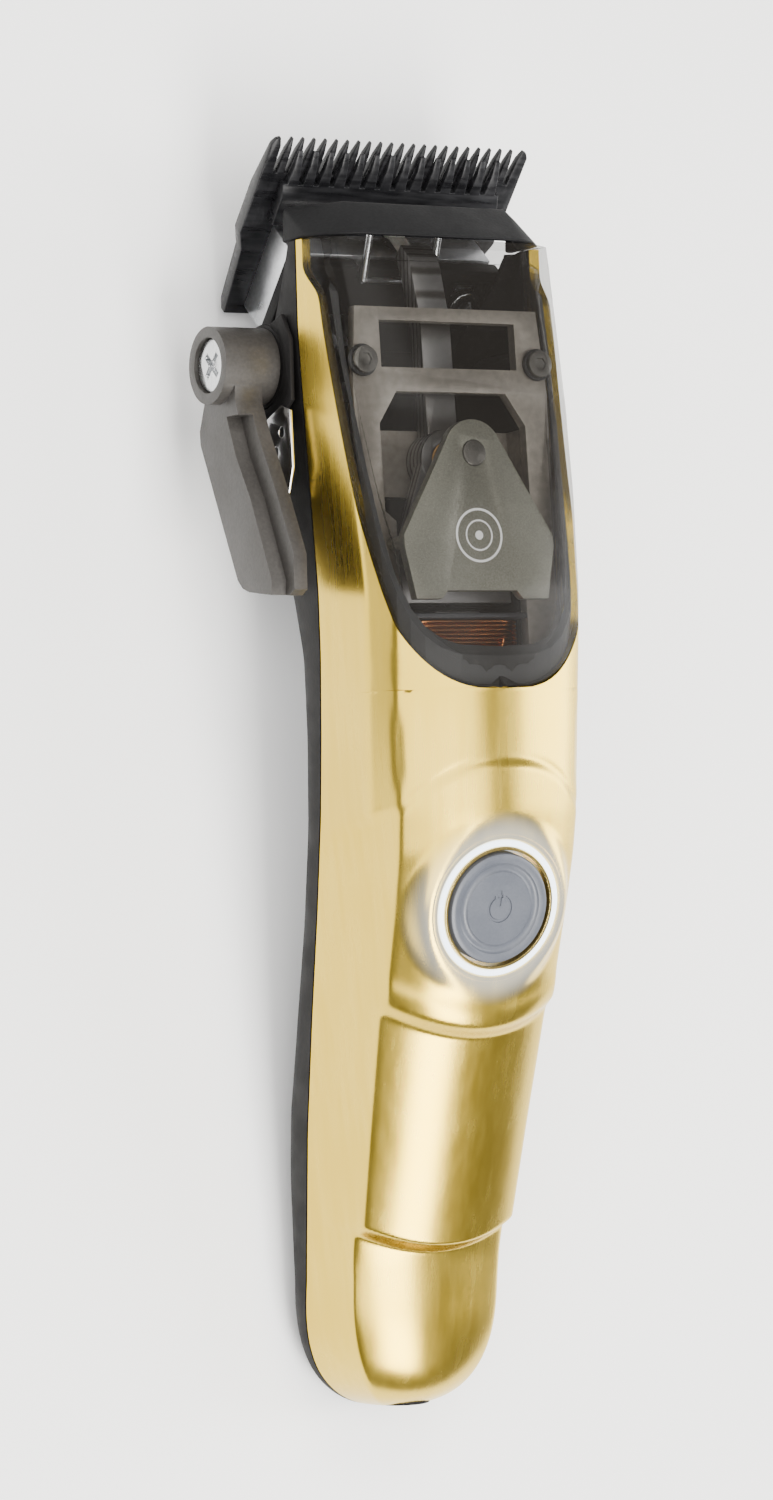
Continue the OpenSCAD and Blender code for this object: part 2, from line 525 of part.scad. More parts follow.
module coil_winding() color([0.72, 0.4, 0.2]) at_motor() difference() {
  slab(-9.6, 9.6, former_y[0] + 0.85, former_y[1] - 0.85, -15.7, -4.6);
  slab(-4.75, 4.75, -40, -20, -13.95, -6.35);
}
// a wire through the given points
module wire(pts, r) {
  for (i = [0:len(pts) - 2]) hull() {
    translate(pts[i]) sphere(r = r, $fn = 20);
    translate(pts[i + 1]) sphere(r = r, $fn = 20);
  }
}
module coil_leads() color("firebrick") at_motor() {
  wire([[8.8, -34.1, -14.4], [11.6, -36.5, -15], [12.2, -40, -15.6]], 0.5);
  wire([[-8.8, -34.1, -14.4], [-11.6, -36.5, -15], [-12.2, -40, -15.6]], 0.5);
}

// ---- button and power ----
module power_button() color([0.25, 0.26, 0.29]) at_button() difference() {
  union() {
    rod(-2.2, 0.35, button_diameter / 2);
    rod(-5.45, -2, 2.05);
  }
  translate([0, 0, -0.05]) difference() {
    cylinder(h = 2, r = 6.7, $fn = 96);
    translate([0, 0, -1]) cylinder(h = 4, r = 5.6, $fn = 96);
  }
  translate([0, 0, 0.05]) difference() {
    cylinder(h = 1, r = 2.1, $fn = 64);
    translate([0, 0, -1]) cylinder(h = 3, r = 1.75, $fn = 64);
    slab(-0.8, 0.8, 1, 3, -1, 2);
  }
  slab(-0.18, 0.18, 0.3, 2.5, 0.05, 1);
}
module button_ring() color("gold") at_button() tube_at(-3.0, 0.25, ring_outer - 1.55, ring_outer - 1.05);
module light_ring() color([0.85, 0.92, 1, 0.8]) at_button() tube_at(-3.0, 0.05, ring_outer - 1, ring_outer - 0.05);
module tube_at(z0, z1, r0, r1) {
  difference() {
    rod(z0, z1, r1);
    rod(z0 - 1, z1 + 1, r0);
  }
}
board_top = -8.5;
module touch_switch() color([0.1, 0.1, 0.1]) at_button() {
  slab(-3, 3, -3, 3, board_top + 0.02, -6.7);
  rod(-6.8, -6.0, 1.6);
}
module circuit_board() color([0.05, 0.3, 0.15]) at_button()
  slab(-9.4, 9.4, -11, 18.5, board_top - 1, board_top);
module board_chips() color([0.08, 0.08, 0.08]) at_button() {
  slab(-4, 4, 7, 13, board_top + 0.02, board_top + 1.1);
  slab(-6, -1.5, -9.5, -5.5, board_top + 0.02, board_top + 0.9);
  slab(2, 6.5, -9.5, -5.5, board_top + 0.02, board_top + 0.9);
  for (s = [-1, 1]) slab(s * 7.3 - 0.8, s * 7.3 + 0.8, -1, 0.6, board_top + 0.02, board_top + 0.8);
}
module battery_cell() color([0.3, 0.35, 0.42]) at_cell() {
  rod_y(0.2, cell_length - 1.2, cell_diameter / 2 - 0.15);
  rod_y(cell_length - 1.3, cell_length - 0.2, 2.8);
}
module battery_sleeve() color([0.15, 0.35, 0.6]) at_cell() difference() {
  rod_y(0.5, cell_length - 1.6, cell_diameter / 2 + 0.12);
  rod_y(-1, cell_length + 2, cell_diameter / 2 - 0.1);
}
module battery_tabs() color([0.8, 0.8, 0.78]) at_cell() {
  slab(-3, 3, -0.15, 0.15, -4, 4);
  slab(-2.5, 2.5, cell_length - 0.15, cell_length + 0.15, -4, 4);
}
module charge_inlet() color([0.1, 0.1, 0.1]) difference() {
  rod_y(tail_end + 0.5, tail_end + 12.5, 4.0, 0, inlet_z);
  rod_y(tail_end - 1, tail_end + 10, inlet_bore / 2, 0, inlet_z);
  rod_y(tail_end, tail_end + 13, 1.02, 0, inlet_z);
}
module inlet_pin() color([0.8, 0.75, 0.5]) rod_y(tail_end + 2, tail_end + 13.5, 1.0, 0, inlet_z);

front_lid();
back_housing();
window();
window_gasket();
nose_cover();
fixed_blade();
cutter_blade();
blade_screws();
blade_carrier();
blade_seat();
seat_screws();
drive_block();
tension_spring();
taper_lever();
lever_screw();
lever_bushing();
cam_shaft();
detent_leaf();
detent_holder();
motor_frame();
frame_screws();
frame_washers();
motor_cover();
pivot_pin();
pivot_bushes();
armature_arm();
drive_tip();
arm_magnets();
magnet_core();
coil_former();
coil_winding();
coil_leads();
power_button();
button_ring();
light_ring();
circuit_board();
board_chips();
touch_switch();
battery_cell();
battery_sleeve();
battery_tabs();
charge_inlet();
inlet_pin();
housing_screws();
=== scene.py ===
import math

import bpy
import numpy as np
from mathutils import Matrix, Vector


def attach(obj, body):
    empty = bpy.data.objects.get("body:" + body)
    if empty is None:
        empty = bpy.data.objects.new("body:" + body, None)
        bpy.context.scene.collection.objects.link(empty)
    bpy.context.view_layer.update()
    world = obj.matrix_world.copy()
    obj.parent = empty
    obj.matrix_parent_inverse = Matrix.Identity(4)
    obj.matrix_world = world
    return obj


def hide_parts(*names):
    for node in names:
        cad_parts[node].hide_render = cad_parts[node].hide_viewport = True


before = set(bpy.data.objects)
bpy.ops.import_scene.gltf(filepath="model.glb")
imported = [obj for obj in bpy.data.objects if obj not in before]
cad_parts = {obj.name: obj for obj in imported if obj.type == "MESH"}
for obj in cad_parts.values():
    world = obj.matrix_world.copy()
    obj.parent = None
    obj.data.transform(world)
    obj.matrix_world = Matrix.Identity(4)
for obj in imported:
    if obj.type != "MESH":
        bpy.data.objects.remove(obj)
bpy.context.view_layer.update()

scene = bpy.context.scene
lens = bpy.data.cameras.new("studio_camera")
lens.sensor_fit = "VERTICAL"
lens.sensor_height = 36
lens.lens = 36 * 4583 / 1500
lens.clip_start, lens.clip_end = 0.05, 20
camera = bpy.data.objects.new("studio_camera", lens)
scene.collection.objects.link(camera)
across, upward, back = (Vector((0.8572, -0.0359, 0.5138)), Vector((0.018, 0.999, 0.0399)),
                        Vector((-0.5147, -0.0249, 0.857)))
turn = Matrix((across, upward, back)).transposed().to_4x4()
camera.matrix_world = Matrix.Translation((-0.35927, 0.0589, 0.61013)) @ turn
scene.camera = camera


# The table is a plain pale sheet. A broad box hangs over the lever side, one beyond the tail and
# one beyond the blade draw the lid's highlights, and one fills the far side of a dim room.
class Wire:
    """A shader socket that takes part in sums."""

    def __init__(self, paint, socket):
        self.paint, self.socket = paint, socket

    def op(self, kind, other, flip=False):
        a, b = (other, self) if flip else (self, other)
        return self.paint.add("ShaderNodeMath", {"operation": kind}, {0: a, 1: b})

    def __add__(self, other): return self.op("ADD", other)
    def __radd__(self, other): return self.op("ADD", other)
    def __sub__(self, other): return self.op("SUBTRACT", other)
    def __rsub__(self, other): return self.op("SUBTRACT", other, True)
    def __mul__(self, other): return self.op("MULTIPLY", other)
    def __rmul__(self, other): return self.op("MULTIPLY", other)


class Paint:
    """A finish: one shader with its fixed values, and the nodes that vary it."""

    def __init__(self, name, base, rough, **fixed):
        self.mat = bpy.data.materials.new(name)
        self.mat.use_nodes = True
        self.tree = self.mat.node_tree
        self.shader = self.tree.nodes["Principled BSDF"]
        self.mat.diffuse_color = (*base[:3], 1)
        self.set(**{"Base Color": (*base, 1), "Roughness": rough},
                 **{k.replace("_", " "): v for k, v in fixed.items()})

    def set(self, **values):
        for name, value in values.items():
            self.join(self.shader.inputs[name.replace("_", " ")], value)

    def join(self, socket, value):
        if isinstance(value, Wire):
            self.tree.links.new(value.socket, socket)
        else:
            socket.default_value = value

    def add(self, kind, settings, inputs, out=0):
        node = self.tree.nodes.new(kind)
        for name, value in settings.items():
            if name == "stops":
                for stop, (place, colour) in zip(node.color_ramp.elements, value):
                    stop.position, stop.color = place, colour
            else:
                setattr(node, name, value)
        for name, value in inputs.items():
            self.join(node.inputs[name], value)
        return Wire(self, node.outputs[out])

    def place(self, centre=(0, 0, 0), turned=(0, 0, 0), stretch=(1, 1, 1)):
        where = self.add("ShaderNodeTexCoord", {}, {}, "Object")
        where = self.add("ShaderNodeMapping", {}, {"Vector": where, "Location": [-c for c in centre]})
        return self.add("ShaderNodeMapping", {}, {"Vector": where, "Rotation": turned, "Scale": stretch})

    def noise(self, scale, detail=3.0, stretch=(1, 1, 1)):
        return self.add("ShaderNodeTexNoise", {},
                        {"Vector": self.place(stretch=stretch), "Scale": scale, "Detail": detail})

    def blend(self, share, low, high):
        return self.add("ShaderNodeMix", {"data_type": "RGBA"}, {0: share, 6: low, 7: high}, 2)

    def band(self, value, low, high):
        """0 below low, 1 above high, eased between"""
        return self.add("ShaderNodeMapRange", {"interpolation_type": "SMOOTHSTEP"},
                        {"Value": value, "From Min": low, "From Max": high})

    def bump(self, height, depth, strength=1.0):
        self.set(Normal=self.add("ShaderNodeBump", {},
                                 {"Height": height, "Distance": depth, "Strength": strength}))

    def weather(self, scale, tint, rough, depth, stretch=(1, 1, 1), detail=4.0):
        """colour, gloss and fine relief that drift over the surface at one grain size"""
        grain = self.noise(scale, detail, stretch)
        drift = self.noise(scale / 14, 2.0)
        base = tuple(self.shader.inputs["Base Color"].default_value)
        share = self.band(grain * 0.6 + drift * 0.4, 0.32, 0.68)
        darker = tuple(c * (1 - tint) for c in base[:3]) + (1,)
        paler = tuple(min(1, c * (1 + tint)) for c in base[:3]) + (1,)
        self.set(Base_Color=self.blend(share, darker, paler))
        gloss = self.shader.inputs["Roughness"].default_value
        self.set(Roughness=self.band(drift, 0.3, 0.7) * rough + (gloss - rough / 2))
        self.bump(grain, depth)
        return self


table = Paint("table_paper", (0.97, 0.97, 0.965), 0.8, Emission_Color=(1, 1, 1, 1), Emission_Strength=0.1)
table.bump(table.noise(300), 0.00004, 0.2)
bpy.ops.object.select_all(action="DESELECT")
bpy.ops.mesh.primitive_plane_add(size=3, location=(0, 0, -0.0002))
floor = bpy.context.object
floor.name = "table_top"
floor.data.materials.append(table.mat)
world = bpy.data.worlds.new("dim_room")
world.use_nodes = True
world.node_tree.nodes["Background"].inputs[0].default_value = (0.95, 0.97, 1.0, 1)
world.node_tree.nodes["Background"].inputs[1].default_value = 0.34
scene.world = world


def soft_box(name, where, aim, width, height, power, tint=(1, 1, 1)):
    lamp = bpy.data.lights.new(name, "AREA")
    lamp.shape, lamp.size, lamp.size_y = "RECTANGLE", width, height
    lamp.energy, lamp.color = power, tint
    obj = bpy.data.objects.new(name, lamp)
    scene.collection.objects.link(obj)
    obj.location = where
    obj.rotation_euler = (Vector(where) - Vector(aim)).to_track_quat("Z", "Y").to_euler()


soft_box("ceiling_box", (-0.55, 0.1, 1.6), (0, 0.08, 0.03), 1.3, 2.6, 50, (1.0, 0.985, 0.96))
soft_box("tail_box", (0.04, -0.62, 0.95), (0, 0.02, 0.03), 0.5, 0.8, 25, (1.0, 0.98, 0.94))
soft_box("blade_box", (-0.1, 0.95, 1.1), (0, 0.08, 0.03), 0.7, 0.4, 9, (1.0, 0.98, 0.94))
soft_box("far_side_box", (1.3, 0.08, 0.5), (0.25, 0.08, 0), 0.4, 1.6, 22)

# Back housing: one deep tray of black glass-filled nylon, injection moulded with a fine spark
# texture outside. Posts inside it take the motor frame, and four screws from below hold the lid.
mm = 0.001
tail_end, head_end, tail_round = -23.5, 151.5, -4.0
seam_rise = ((-24, 5.4), (-17.6, 5.9), (-7.9, 7.7), (1.3, 9.3), (19.5, 12.6), (36, 16.6),
             (52.8, 20.5), (66, 23.2),
             (77.6, 24.9), (90, 25.9), (99.7, 26.1), (117.5, 25.8), (138, 25.9), (152, 26.3))
half_width = ((-24, 15.2), (-4, 15.2), (1.3, 15.5), (19.5, 16.5), (36, 17.4), (52.8, 18),
              (77.6, 18.9), (99.7, 19.2),
              (117.5, 20), (138, 21), (152, 21.1))
belly = ((-24, -0.8), (12, -0.8), (22, 0.8), (34, 5), (50, 10), (64, 13), (78, 14.2), (90, 13.5), (100, 9.5),
         (108, 5), (116, 0.6), (121, -0.8), (131, -0.8), (139, 8.5), (152, 19.5))


def along(table, y, soft=1.0):
    """a size read off along the body, with its corners eased over a few millimetres"""
    t = np.array(table, float)
    steps = np.linspace(-3, 3, 13) * soft
    weights = np.exp(-np.linspace(-2.2, 2.2, 13) ** 2)
    return sum(w * np.interp(y + s, t[:, 0], t[:, 1]) for s, w in zip(steps, weights)) / weights.sum()


def pinch(y, power):
    """closes the rounded tail"""
    t = np.clip((tail_round - y) / (tail_round - tail_end), 0, 1)
    return np.clip(1 - t ** power, 0, None) ** (1 / power)


def side(y):
    return along(half_width, y) * pinch(y, 2.4)


def eased_step(v):
    v = np.clip(v, 0, 1)
    return v * v * (3 - 2 * v)


def skin(name, points):
    """a flat grid wrapped over rows of points, given in millimetres"""
    n, m = points.shape[:2]
    bpy.ops.object.select_all(action="DESELECT")
    bpy.ops.mesh.primitive_grid_add(x_subdivisions=m - 1, y_subdivisions=n - 1, size=1)
    obj = bpy.context.object
    obj.name = name
    obj.data.vertices.foreach_set("co", (points * mm).reshape(-1))
    obj.data.update()
    return obj


def active(obj):
    bpy.ops.object.select_all(action="DESELECT")
    obj.select_set(True)
    bpy.context.view_layer.objects.active = obj


def modify(obj, kind, **settings):
    active(obj)
    mod = obj.modifiers.new("step", kind)
    for k, v in settings.items():
        setattr(mod, k, v)
    bpy.ops.object.modifier_apply(modifier=mod.name)


def tidy(obj, smooth=35, merge=1e-6):
    """merges doubles, turns the faces outwards and smooths over the soft edges"""
    active(obj)
    bpy.ops.object.mode_set(mode="EDIT")
    bpy.ops.mesh.select_all(action="SELECT")
    bpy.ops.mesh.remove_doubles(threshold=merge)
    bpy.ops.mesh.normals_make_consistent(inside=False)
    bpy.ops.object.mode_set(mode="OBJECT")
    bpy.ops.object.shade_smooth_by_angle(angle=math.radians(smooth))


def turned(name, profile, place=Matrix(), sides=72, ring=True):
    """a lathe-turned piece: a circle pulled through each radius and height of its profile, in millimetres"""
    bpy.ops.object.select_all(action="DESELECT")
    (r, z) = profile[0]
    bpy.ops.mesh.primitive_circle_add(vertices=sides, radius=r * mm, location=(0, 0, z * mm))
    obj = bpy.context.object
    obj.name = name
    bpy.ops.object.transform_apply(location=True, rotation=True, scale=True)
    bpy.ops.object.mode_set(mode="EDIT")
    bpy.ops.mesh.select_all(action="SELECT")
    for (ra, za), (rb, zb) in zip(profile, list(profile[1:]) + ([profile[0]] if ring else [])):
        bpy.ops.mesh.extrude_region_move(TRANSFORM_OT_translate={"value": (0, 0, (zb - za) * mm)})
        bpy.ops.transform.resize(value=(rb / ra, rb / ra, 1), center_override=(0, 0, 0))
    bpy.ops.mesh.select_all(action="SELECT")
    bpy.ops.mesh.remove_doubles(threshold=1e-6)
    if not ring:
        bpy.ops.mesh.fill_holes(sides=0)
    bpy.ops.mesh.select_all(action="SELECT")
    bpy.ops.mesh.normals_make_consistent(inside=False)
    bpy.ops.object.mode_set(mode="OBJECT")
    obj.data.transform(place)
    bpy.ops.object.shade_smooth_by_angle(angle=math.radians(30))
    return obj


def block(name, low, high, place=Matrix()):
    """a plain cutting block between two corners, in millimetres"""
    bpy.ops.object.select_all(action="DESELECT")
    centre = [(a + b) / 2 * mm for a, b in zip(low, high)]
    bpy.ops.mesh.primitive_cube_add(size=1, location=centre, scale=[(b - a) * mm for a, b in zip(low, high)])
    obj = bpy.context.object
    obj.name = name
    bpy.ops.object.transform_apply(location=True, rotation=True, scale=True)
    obj.data.transform(place)
    return obj


def cut(obj, cutters, operation="DIFFERENCE"):
    """takes each cutter out of a piece, and throws the cutter away"""
    for cutter in cutters:
        modify(obj, "BOOLEAN", operation=operation, object=cutter, solver="EXACT")
        bpy.data.objects.remove(cutter, do_unlink=True)


def dress(obj, paint, body, slot, *nodes):
    """gives a finished piece its paint and its body, and hides the CAD pieces it stands for; slot is not used
    """
    obj.data.materials.clear()
    obj.data.materials.append(paint.mat)
    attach(obj, body)
    if nodes:
        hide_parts(*nodes)
    return obj


def merge(obj, *others):
    active(obj)
    for o in others:
        o.select_set(True)
    bpy.ops.object.join()
    return obj


def both_sides(name, profile, spot, ring=True):
    """two turned pieces standing at the same distance either side of the middle"""
    return [turned(name, profile, Matrix.Translation((s * spot[0] * mm, spot[1] * mm, 0)), 40,
                   ring) for s in (-1, 1)]


def post(name, bore, radius, foot, top, spot):
    """a pair of hollow posts, with the edge of the top broken"""
    profile = [(bore, foot), (radius, foot), (radius, top - 0.2), (radius - 0.2, top), (bore, top)]
    return both_sides(name, profile, spot)


lid_screw_at, tail_screw_at, frame_screw_at = (12.8, 64), (9.5, -9), (15.2, 132.9)
blade_place = Matrix.Translation((0, 167.1 * mm, 23.5 * mm)) @ Matrix.Rotation(math.radians(41.8), 4, "X")
motor_place = Matrix.Translation((0, 119 * mm, 40 * mm)) @ Matrix.Rotation(math.radians(-3), 4, "X")
button_place = Matrix.Translation((0, 51.9 * mm, 42.2 * mm)) @ Matrix.Rotation(math.radians(14), 4, "X")
inlet_place = Matrix.Translation((0, tail_end * mm, 10 * mm)) @ Matrix.Rotation(-math.pi / 2, 4, "X")
inlet_radius = 4.08

tail_rows = tail_end + 19.5 * (1 - np.cos(np.linspace(0.012, np.pi / 2, 30)))
house_rows = np.concatenate([tail_rows, np.arange(-3.2, head_end - 0.4, 1.1), [head_end]])
turn_in = np.linspace(-np.pi / 2, np.pi / 2, 65)
y = house_rows[:, None]
depth = (along(seam_rise, y) - along(belly, y)) * pinch(y, 2.4)
across_share = np.sign(np.sin(turn_in)) * np.abs(np.sin(turn_in)) ** (2 / 3)
down_share = np.abs(np.cos(turn_in)) ** (2 / 3)
x = side(y) * across_share
z = along(seam_rise, y) - 0.4 - np.clip(depth - 0.4, 0.01, None) * down_share
tray = skin("housing_tray", np.stack([x, y + 0 * x, np.maximum(z, 0)], axis=-1))
modify(tray, "SOLIDIFY", thickness=2.0 * mm, offset=1)
tidy(tray)
posts = (post("lid_post", 1.5, 3.3, 16, 23.8, lid_screw_at)
         + post("tail_post", 1.5, 3.1, 2, 10.8, tail_screw_at))
posts += post("frame_post", 1.3, 2.6, 20.2, 32, frame_screw_at)
lever_place = Matrix.Translation((0, 133.8 * mm, 16 * mm)) @ Matrix.Rotation(math.pi / 2, 4, "Y")
cutters = [block("seat_room", (-18.6, -31.2, -8), (18.6, 10, 10.3), blade_place),
           block("blade_room", (-17.4, -31.2, -8), (17.4, 10, 11.2), blade_place),
           turned("lever_bore", [(6.45, -26), (6.45, -10)], lever_place, 64, False),
           turned("inlet_room", [(inlet_radius, -10), (inlet_radius, 10)], inlet_place, 48, False)]
lid_rooms = both_sides("lid_screw_room",
                       [(2.5, -1), (2.5, 19.2), (1.5, 19.2), (1.5, 30)], lid_screw_at, False)
tail_rooms = both_sides("tail_screw_room", [(2.5, -2), (2.5, 4), (1.5, 4), (1.5, 30)], tail_screw_at, False)
cutters += [lid_rooms[0], tail_rooms[0], lid_rooms[1], tail_rooms[1]]
cut(tray, cutters)
merge(tray, *posts)
tidy(tray, 32)
nylon = Paint("housing_black", (0.008, 0.0075, 0.0075), 0.6,
              Specular_IOR_Level=0.12).weather(2600, 0.16, 0.12, 0.00003)
dress(tray, nylon, "shell", "housing_black", "back_housing")

# Front lid: a shell of zinc alloy with flat sides and an arched face, die cast, satin polished and
# plated pale gold. A thumb pad is raised round the button, and two ledges part the grip from the tail.
crown_line = ((-24, 20.0), (-7, 21.0), (0, 21.7), (2.5, 22.3), (5.5, 23.3), (14.7, 26.2), (24, 29.1),
              (31.5, 31.5), (34.5, 32.4),
              (42, 34.9), (51.9, 38.1), (60, 40.3), (66, 40.9), (70, 41.1), (76, 41.2), (84, 41.5),
              (90, 42.0), (98.7, 42.6),
              (113.7, 40.9), (125.9, 38.3), (138.3, 33.5), (148.8, 30.3), (152, 29.1))
window_cut = ((84, 46.3), (86, 45.1), (88.5, 43.9), (92, 42.6), (96, 41.3), (98.7, 40.4), (104, 38.8),
              (116.6, 35.8), (127, 33.6), (137.5, 31.7), (142.5, 30.9))
grip_ledge, pad_ledge, pad_ridge = 3.1, 1.8, 0.45


def half_section(corners, power, soft):
    """half the lid's cross-section as shares of its width and height: straight sides through the
    corners, then the arched face"""
    t = np.linspace(0, 1, 801)
    stops = [c[2] for c in corners]
    wide = np.interp(t, stops + [1.0], [c[0] for c in corners] + [0.0])
    high = np.interp(t, stops + [1.0], [c[1] for c in corners] + [1.0])
    edge_x, edge_z, edge_t = corners[-1]
    face = t > edge_t
    high[face] = 1 - (1 - edge_z) * (wide[face] / edge_x) ** power
    kernel = np.exp(-0.5 * (np.arange(-60, 61) / soft) ** 2)
    kernel /= kernel.sum()
    wide = np.concatenate([2 * wide[0] - wide[60:0:-1], wide, -wide[-2:-62:-1]])
    high = np.concatenate([2 * high[0] - high[60:0:-1], high, high[-2:-62:-1]])
    return np.convolve(wide, kernel, "valid"), np.convolve(high, kernel, "valid")


plain_section = half_section([(1, 0, 0), (0.835, 0.765, 0.45)], 2.15, 13)
bevel_section = half_section([(1, 0, 0), (0.955, 0.56, 0.29), (0.83, 0.77, 0.45)], 2.5, 7)


def lid_points(rows, reach, sign):
    """the lid's outer face, with its ledges, pad and button seat, as rows of points in millimetres;
    reach runs from 0 at the seam to 800 at the crown"""
    pick = [np.interp(reach, np.arange(801), s) for s in plain_section + bevel_section]
    y = rows[:, None]
    xs = np.abs(pick[0]) + 0 * y
    arch = y - (73.6 - 9.7 * (xs / 0.95) ** 2.6)
    up = eased_step((arch + 1.2) / 2.6)
    wide = pick[0] * (1 - up) + pick[2] * up
    high = pick[1] * (1 - up) + pick[3] * up
    rise = along(crown_line, y)
    rise = rise + grip_ledge * eased_step((y - 0.4 - 4.6 * xs ** 2) / 1.7)
    low_lip = y - 32.4 - 6 * xs ** 2
    rise = rise + pad_ledge * eased_step(low_lip / 2.2) + 0.45 * np.exp(-((low_lip - 3.4) / 2.0) ** 2)
    rise = rise + pad_ridge * (1 - eased_step((arch + 1.5) / 1.9)) * np.exp(np.minimum(arch, 0) / 6)
    seam = along(seam_rise, y)
    crease = (up * eased_step((y - 68) / 5) * eased_step((83.5 - y) / 6)
              * np.exp(-((reach / 800 - 0.452) / 0.022) ** 2))
    x = sign * (side(y) * wide - 0.14 * crease)
    z = seam + (rise - seam) * pinch(y, 3.4) * high - 0.14 * crease
    points = np.stack([x, y + 0 * x, z], axis=-1)
    seat = np.array(button_place.inverted())
    local = (points * mm) @ seat[:3, :3].T + seat[:3, 3]
    reach = np.hypot(local[..., 0], local[..., 1]) / mm
    hold = (1 - eased_step((reach - 11.2) / 3.4)) * (local[..., 2] > -0.012)
    local[..., 2] = local[..., 2] * (1 - hold) - 0.0002 * hold
    out = np.array(button_place)
    return (local @ out[:3, :3].T + out[:3, 3]) / mm


drop = np.polyfit([(a - 84) ** 0.8 for a, b in window_cut], [46.3 - b for a, b in window_cut], 3)


def opening(rows, inset):
    """how far round from the seam each row meets the window's line, seen from the side"""
    dense = np.tile(np.arange(801.0), (len(rows), 1))
    z = lid_points(rows, dense, -1)[..., 2]
    start = rows - 84 - inset
    line = 46.35 - np.maximum(0, np.polyval(drop, np.clip(start, 0, 58.5) ** 0.8)) + inset * 0.6
    line = line - 3.4 * eased_step((rows - 142) / 5.6)
    above = z >= line[:, None]
    first = np.argmax(above, axis=1).astype(float)
    first[~above.any(axis=1) | (start <= 0)] = 800
    lower, upper = z[np.arange(len(rows)),
                     np.maximum(first - 1, 0).astype(int)], z[np.arange(len(rows)), first.astype(int)]
    return np.where(first < 800, first - np.clip((upper - line) / np.maximum(upper - lower, 1e-6), 0, 1), 800)


def drop_faces(obj, test, splits=0):
    """takes out the faces whose middle passes the test, or only splits them finer"""
    active(obj)
    chosen = [test(p.center / mm) for p in obj.data.polygons] if callable(test) else test
    bpy.ops.object.mode_set(mode="EDIT")
    bpy.ops.mesh.select_mode(type="FACE")
    bpy.ops.mesh.select_all(action="DESELECT")
    bpy.ops.object.mode_set(mode="OBJECT")
    obj.data.polygons.foreach_set("select", chosen)
    bpy.ops.object.mode_set(mode="EDIT")
    if splits:
        bpy.ops.mesh.subdivide(number_cuts=splits)
    else:
        bpy.ops.mesh.delete(type="FACE")
    bpy.ops.mesh.select_mode(type="VERT")
    bpy.ops.object.mode_set(mode="OBJECT")


def round_hole(obj, place, radius, low, high, reach, splits=0):
    """opens a round hole in a sheet: the faces inside go, and the edge left is drawn onto the circle"""
    back = place.inverted()

    def near(p, spare=0.0):
        q = back @ (p * mm)
        return math.hypot(q.x, q.y) < (radius + spare) * mm and low * mm < q.z < high * mm

    if splits:
        drop_faces(obj, lambda p: near(p, 1.5), splits)
    drop_faces(obj, near)
    active(obj)
    bpy.ops.object.mode_set(mode="EDIT")
    bpy.ops.mesh.select_all(action="DESELECT")
    bpy.ops.mesh.select_non_manifold()
    bpy.ops.object.mode_set(mode="OBJECT")
    for v in obj.data.vertices:
        q = back @ v.co
        r = math.hypot(q.x, q.y)
        if v.select and r < (radius + reach) * mm and low * mm < q.z < high * mm:
            v.co = place @ Vector((q.x * radius * mm / r, q.y * radius * mm / r, q.z))


lid_rows = np.concatenate([tail_rows, np.arange(-3.55, 7.5, 0.3), np.arange(7.8, 29, 0.75),
                           np.arange(29, 44, 0.36),
                           np.arange(44.4, 60, 0.6),
                           np.arange(60.3, 78, 0.36), np.arange(78.6, 83.8, 0.7),
                           84 + np.array([0, 0.12, 0.3, 0.55, 0.9, 1.4, 2, 2.8, 3.7, 4.7, 5.7]),
                           np.arange(90.5, head_end - 0.5, 0.9), [head_end]])
columns = 66
edge = opening(lid_rows, 0)[:, None] * np.linspace(0, 1, columns)[None, :]
lid = skin("front_lid_shell",
           lid_points(lid_rows, np.hstack([edge, edge[:, ::-1]]), np.repeat([-1, 1], columns)[None, :]))
strip = (np.arange(len(lid.data.polygons)) % (2 * columns - 1)) == columns - 1
drop_faces(lid, list(strip))
active(lid)
bpy.ops.object.mode_set(mode="EDIT")
bpy.ops.mesh.select_all(action="SELECT")
bpy.ops.mesh.remove_doubles(threshold=2e-6)
bpy.ops.object.mode_set(mode="OBJECT")
round_hole(lid, button_place, 11.0, -6, 6, 1.2)
round_hole(lid, inlet_place, inlet_radius, -2, 8, 0.45, 5)
modify(lid, "SOLIDIFY", thickness=1.6 * mm, offset=-1)
tidy(lid, 40)
cup_profile = [(2.15, -4.6), (11.3, -4.6), (11.3, -0.3), (11.1, -0.05), (10.8, 0.0),
               (10.45, -0.05), (10.3, -0.25),
               (10.3, -3.05), (2.15, -3.05)]
cup = turned("button_cup", cup_profile, button_place, 96)
bosses = both_sides("lid_boss", [(1.32, 24), (2.6, 24), (2.8, 24.2), (2.8, 36.2), (1.32, 36.2)], lid_screw_at)
bosses += both_sides("lid_boss",
                     [(1.32, 11), (2.6, 11), (2.8, 11.2), (2.8, 16.6), (1.32, 16.6)], tail_screw_at)
merge(lid, cup, *bosses)
gold = Paint("lid_gold", (0.63, 0.44, 0.06), 0.26, Metallic=1.0)
brushed = gold.noise(700, 4.0, (1, 0.06, 1))
cloud = gold.noise(45, 2.0)
gold.set(Base_Color=gold.blend(gold.band(brushed * 0.5 + cloud * 0.5, 0.35, 0.65), (0.60, 0.415, 0.05, 1),
                               (0.65, 0.46, 0.07, 1)),
         Roughness=gold.band(brushed, 0.3, 0.7) * 0.03 + gold.band(cloud, 0.3, 0.7) * 0.02 + 0.24)
gold.bump(gold.noise(5200, 2.0), 0.000012, 0.5)
# Painted light: a bluish-white emission on the gold is strongest within 10.8 mm of the button's axis and gone
# by 14.8 mm. It paints the glow of the button's light ring onto the lid.
button_at = gold.place((0, 0.0519, 0.0422), (math.radians(-14), 0, 0), (1, 1, 0.4))
away = gold.add("ShaderNodeVectorMath", {"operation": "LENGTH"}, {0: button_at}, 1)
painted_glow_mask = 1 - gold.band(away, 0.0108, 0.0148)
gold.set(Emission_Color=gold.blend(painted_glow_mask, (0, 0, 0, 1), (0.80, 0.89, 1.0, 1)), Emission_Strength=0.75)
